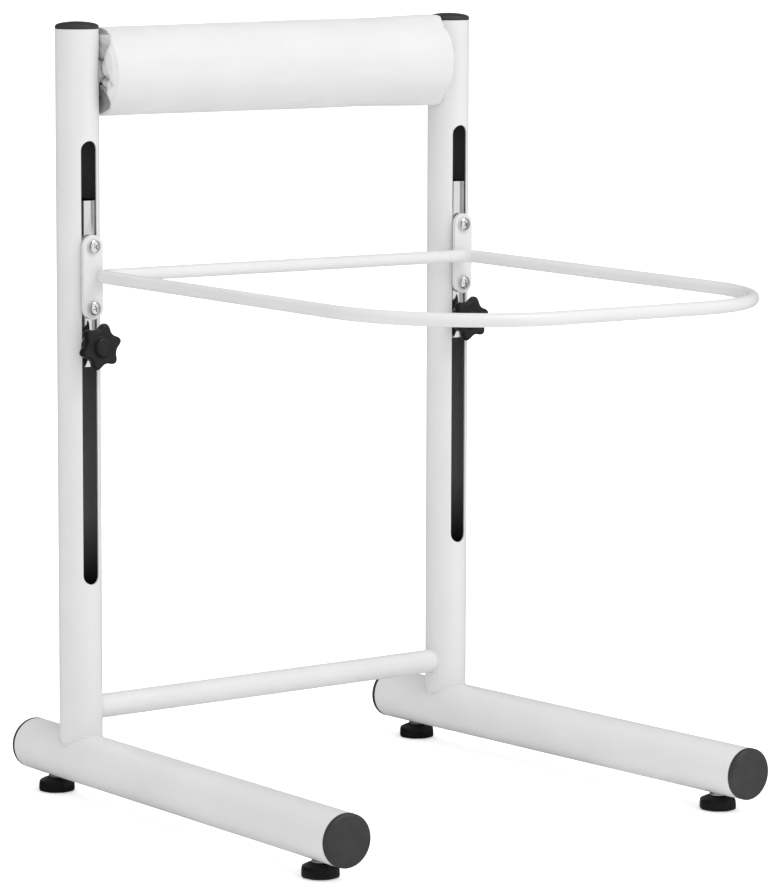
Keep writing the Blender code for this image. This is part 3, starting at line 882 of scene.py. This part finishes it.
def cover_rings():
    """(radius, position along the axis, how far from rim to mouth) of each ring."""
    length = ROLL_HALF
    rim = COVER_RIM
    body = [(ROLL_R, (length - rim) * (2 * k / COVER_ALONG - 1), 0.0)
            for k in range(COVER_ALONG + 1)]
    end = []
    for k in range(1, 4):
        a = math.pi / 2 * k / 3
        end.append((ROLL_R - rim + rim * math.cos(a), length - rim + rim * math.sin(a), 0.0))
    for k in range(1, COVER_END_RINGS + 1):
        t = k / COVER_END_RINGS
        end.append((ROLL_R - rim + (COVER_MOUTH_R - ROLL_R + rim) * t, length, t))
    end.append((COVER_MOUTH_R - 0.0005, length - 0.030, 1.0))
    low = [(r, -x, t) for r, x, t in reversed(end)]
    return low + body + end


def roll_swell(along):
    """How much fatter than a cylinder the roll is: a little, towards its right end."""
    return 0.0001 + 0.0044 * along + 0.0017 * ease((along - 0.13) / 0.11)


def cover_point(radius, along, t, angle):
    """A point of the cover, at an angle from +Y towards +Z."""
    outward = 1 if along > 0 else -1
    degrees = math.degrees(math.atan2(math.sin(angle), -math.cos(angle)))
    seed = 0.8 if along > 0 else 2.3
    if along > 0:
        degrees += FOLDS_TURN
    if t == 0.0:
        near_end = math.exp(-(ROLL_HALF - abs(along)) / 0.016)
        pull = 0.0012 * near_end * (fold_fullness(degrees) - 0.75)
        soft = 0.0006 * noise.noise(Vector((9 * along, 3.0 * math.cos(angle),
                                            3.0 * math.sin(angle))))
        radius += pull + soft
    elif radius > COVER_MOUTH_R - 0.0001:
        along += outward * end_relief(degrees, t, seed)
    radius += roll_swell(along) * ease((radius - COVER_MOUTH_R) / (ROLL_R - COVER_MOUTH_R))
    lift = 0.0034 * along - 0.0001
    y = radius * math.cos(angle)
    near = ease(1 - (ROLL_HALF - abs(along)) / 0.040)
    along += outward * near * spare_room(y, outward)
    along = outward * min(abs(along), most_reach(y))
    return (along, y, radius * math.sin(angle) + lift)


def cover_form():
    form = bmesh.new()
    angles = [math.tau * k / COVER_AROUND for k in range(COVER_AROUND)]
    rings = [[form.verts.new(cover_point(radius, along, t, angle)) for angle in angles]
             for radius, along, t in cover_rings()]
    for one, two in zip(rings, rings[1:]):
        for k in range(COVER_AROUND):
            after = (k + 1) % COVER_AROUND
            face = form.faces.new((one[k], one[after], two[after], two[k]))
            centre = face.calc_center_median()
            away = math.hypot(centre.y, centre.z)
            if abs(centre.x) > ROLL_HALF - 0.020 and away < ROLL_R - COVER_RIM:
                degrees = math.degrees(math.atan2(centre.z, -centre.y))
                if centre.x > 0:
                    degrees += FOLDS_TURN
                # parts of the ends, at their top and underside, are coloured a flat grey
                grey_here = shows_grey_end(degrees, away)
                # the rest of each end gets the lighter copy of the cloth: painted light
                face.material_index = GREY_END_SLOT if grey_here else END_SLOT
    form.transform(Matrix.Translation(ROLL))
    form.normal_update()
    return form


def swell(piece, held):
    """Blow the cloth up a little over its filling, with the held points kept still."""
    start = [v.co.copy() for v in piece.data.vertices]
    group = piece.vertex_groups.new(name="held")
    for index, weight in held.items():
        group.add([index], weight, "REPLACE")
    cloth = piece.modifiers.new("cloth", "CLOTH")
    settings = cloth.settings
    settings.quality = 6
    settings.mass = 0.25
    settings.tension_stiffness = 18
    settings.compression_stiffness = 12
    settings.shear_stiffness = 6
    settings.bending_stiffness = 0.6
    settings.vertex_group_mass = "held"
    settings.use_pressure = True
    settings.uniform_pressure_force = 2.2
    settings.effector_weights.gravity = 0.0
    cloth.collision_settings.use_collision = False
    scene = bpy.context.scene
    for step in range(1, SWELL_STEPS + 1):
        scene.frame_set(step)
    apply_modifiers(piece)
    piece.vertex_groups.clear()
    scene.frame_set(1)
    for vertex, before in zip(piece.data.vertices, start):
        moved = vertex.co - before
        if moved.length > SWELL_MOST:
            vertex.co = before + moved.normalized() * SWELL_MOST
        # nothing goes past the space that the roll holds
        out = Vector((0.0, vertex.co.y - ROLL.y, vertex.co.z - ROLL.z))
        most = ROLL_R + 0.0016 + max(0.0, roll_swell(vertex.co.x - ROLL.x))
        if out.length > most:
            out = out.normalized() * most
        reach = most_reach(out.y)
        x = max(-reach, min(reach, vertex.co.x))
        vertex.co = Vector((x, ROLL.y + out.y, ROLL.z + out.z))


def held_points(cover):
    """How firmly the cloth is held, by point: at the mouth, and along the side and rim."""
    held = {}
    for vertex in cover.data.vertices:
        away = math.hypot(vertex.co.y - ROLL.y, vertex.co.z - ROLL.z)
        if away < COVER_MOUTH_R + 0.001:
            held[vertex.index] = 1.0
        elif away > ROLL_R - 0.0025:
            held[vertex.index] = 1.0
        elif away > ROLL_R - 0.004:
            held[vertex.index] = 0.7
    return held


def build_roll_cover():
    """The roll's padded cover, its ends gathered in folds and swollen a little."""
    cover = new_piece("roll_cover", cover_form(), CLOTH, "stand")
    cover.data.materials.append(GREY_END)
    cover.data.materials.append(CLOTH_END_PAINTED_LIGHT)
    swell(cover, held_points(cover))
    fine = cover.modifiers.new("finer", "SUBSURF")
    fine.levels = 1
    fine.render_levels = 1
    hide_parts("neck_roll_cover", "neck_roll_foam")


SEAM_ANGLE = math.radians(-28)      # from straight back, below it
SEAM_R = 0.0013
STITCH_PITCH = 0.0042
STITCH_SIZE = (0.0014, 0.0004, 0.0004)   # half sizes: along, across, high


def build_roll_seam():
    """A folded seam along the back of the roll, with its row of stitches."""
    out = Vector((0.0, math.cos(SEAM_ANGLE), math.sin(SEAM_ANGLE)))
    across = Vector((0.0, -math.sin(SEAM_ANGLE), math.cos(SEAM_ANGLE)))
    reach = ROLL_HALF - 0.012
    line = [ROLL + out * (ROLL_R + 0.0002) + Vector((x, 0, 0))
            for x in (reach * (2 * k / 60 - 1) for k in range(61))]
    welt = new_piece("roll_seam_welt", tube_form(line, SEAM_R, 12), CLOTH, "stand")
    sharpen(welt, 60)
    stitches = bmesh.new()
    spin = Matrix.Rotation(SEAM_ANGLE, 3, "X").to_4x4()
    size = Matrix.Diagonal((*STITCH_SIZE, 1.0))
    row = ROLL + out * (ROLL_R + 0.0006) + across * 0.0042
    for k in range(int(2 * reach / STITCH_PITCH)):
        centre = row + Vector((-reach + STITCH_PITCH * (k + 0.5), 0, 0))
        place = Matrix.Translation(centre) @ spin @ size
        bmesh.ops.create_uvsphere(stitches, u_segments=8, v_segments=6, radius=1.0,
                                  matrix=place)
    new_piece("roll_seam_stitches", stitches, THREAD, "stand")


# ------------------------------------------------------------------- staging
CAMERA_AT = Vector((-3.040, STAND_Y - 4.182, 1.0792))
CAMERA_YAW = 0.65685
CAMERA_PITCH = -0.13216
CAMERA_ROLL = 0.0031
SENSOR = 36.0
FOCAL_TO_WIDTH = 4375 / 783
AMBIENT = 1.03               # light that the object gets from all round
BACKDROP = 1.2               # what the camera sees of the studio
FLOOR_LIFT = 0.34            # brightens the floor for the camera, up to the backdrop


def build_camera():
    """A long lens at the front left, a little above the object."""
    data = bpy.data.cameras.new("camera")
    data.sensor_fit = "HORIZONTAL"
    data.sensor_width = SENSOR
    data.lens = SENSOR * FOCAL_TO_WIDTH
    data.clip_end = 60.0
    camera = bpy.data.objects.new("camera", data)
    bpy.context.scene.collection.objects.link(camera)
    camera.location = CAMERA_AT
    yaw = Matrix.Rotation(-CAMERA_YAW, 4, "Z")
    pitch = Matrix.Rotation(math.pi / 2 + CAMERA_PITCH, 4, "X")
    roll = Matrix.Rotation(CAMERA_ROLL, 4, "Z")
    camera.rotation_mode = "QUATERNION"
    camera.rotation_quaternion = (yaw @ pitch @ roll).to_quaternion()
    bpy.context.scene.camera = camera


# tone of the studio in reflections, by degrees from the front (-Y) towards +X
PANELS = ((-180, 0.08), (-110, 0.12), (-70, 0.45), (-25, 0.45), (-18, 0.04), (-3, 0.04),
          (2, 0.90), (44, 0.90), (49, 0.36), (66, 0.36), (72, 0.50), (88, 0.50),
          (96, 0.05), (180, 0.08))


def panel_tone(tree, place):
    """Colour of the studio's panels seen towards a place or direction."""
    add, link = tree.nodes.new, tree.links.new
    split = add("ShaderNodeSeparateXYZ")
    link(place, split.inputs[0])
    forward = add("ShaderNodeMath")
    forward.operation = "MULTIPLY"
    forward.inputs[1].default_value = -1.0
    link(split.outputs["Y"], forward.inputs[0])
    azimuth = add("ShaderNodeMath")
    azimuth.operation = "ARCTAN2"
    link(split.outputs["X"], azimuth.inputs[0])
    link(forward.outputs[0], azimuth.inputs[1])
    share = add("ShaderNodeMapRange")
    share.inputs["From Min"].default_value = -math.pi
    share.inputs["From Max"].default_value = math.pi
    link(azimuth.outputs[0], share.inputs["Value"])
    panels = add("ShaderNodeValToRGB")
    link(share.outputs["Result"], panels.inputs["Fac"])
    elements = panels.color_ramp.elements
    while len(elements) < len(PANELS):
        elements.new(0.5)
    for element, (degrees, grey) in zip(elements, PANELS):
        element.position = (degrees + 180) / 360
        element.color = (grey, grey, grey, 1.0)
    return panels.outputs["Color"]


def build_floor():
    """White floor; mirroring surfaces see the studio's panels in it instead."""
    bpy.ops.mesh.primitive_plane_add(size=60.0, location=(0, 0, -0.0005))
    floor = bpy.context.object
    floor.name = "floor"
    s = Shader("pale_floor")
    seen = s.node("ShaderNodeLightPath").outputs["Is Camera Ray"]
    s.set(Base_Color=(0.98, 0.98, 0.98, 1.0), Roughness=0.9, Specular_IOR_Level=0.0,
          Emission_Color=(1.0, 1.0, 1.0, 1.0),
          Emission_Strength=s.maths("MULTIPLY", seen, FLOOR_LIFT))
    place = s.node("ShaderNodeNewGeometry").outputs["Position"]
    panels = s.node("ShaderNodeEmission", {"Color": panel_tone(s.tree, place)})
    mirrored = s.node("ShaderNodeLightPath").outputs["Is Glossy Ray"]
    mix = s.node("ShaderNodeMixShader", {0: mirrored, 1: s.main.outputs[0],
                                         2: panels.outputs[0]})
    s.tree.links.new(mix.outputs[0], s.tree.nodes["Material Output"].inputs["Surface"])
    floor.data.materials.append(s.material)


def build_world():
    """White studio: even light, with darker and lighter panels only in reflections."""
    world = bpy.data.worlds.new("studio")
    bpy.context.scene.world = world
    world.use_nodes = True
    tree = world.node_tree
    tree.nodes.clear()
    add, link = tree.nodes.new, tree.links.new

    def background(strength):
        made = add("ShaderNodeBackground")
        made.inputs["Color"].default_value = (1.0, 1.0, 1.0, 1.0)
        made.inputs["Strength"].default_value = strength
        return made

    def either(test, no, yes):
        made = add("ShaderNodeMixShader")
        for socket, source in zip(made.inputs, (test, no.outputs[0], yes.outputs[0])):
            link(source, socket)
        return made

    rays = add("ShaderNodeLightPath")
    lit, seen, mirrored = background(AMBIENT), background(BACKDROP), background(1.0)
    link(panel_tone(tree, add("ShaderNodeTexCoord").outputs["Generated"]),
         mirrored.inputs["Color"])
    indirect = either(rays.outputs["Is Glossy Ray"], lit, mirrored)
    chosen = either(rays.outputs["Is Camera Ray"], indirect, seen)
    link(chosen.outputs[0], add("ShaderNodeOutputWorld").inputs["Surface"])


def build_key_light():
    """One large softbox high up in front, a little to the right."""
    data = bpy.data.lights.new("key_softbox", "AREA")
    data.shape = "RECTANGLE"
    data.size = 2.4
    data.size_y = 2.0
    data.energy = 70.0
    light = bpy.data.objects.new("key_softbox", data)
    bpy.context.scene.collection.objects.link(light)
    light.location = (0.9, -2.7, 4.1)
    aim = Vector((0.0, 0.0, 0.5)) - light.location
    light.rotation_mode = "QUATERNION"
    light.rotation_quaternion = aim.to_track_quat("-Z", "Y")


finish_cad_pieces()
build_hoop()
build_welds()
build_runner_caps()
build_upright_caps()
build_foot_pads()
build_knobs()
build_screws()
build_roll_cover()
build_roll_seam()
build_camera()
build_floor()
build_world()
build_key_light()
bpy.context.scene.view_settings.view_transform = "Standard"
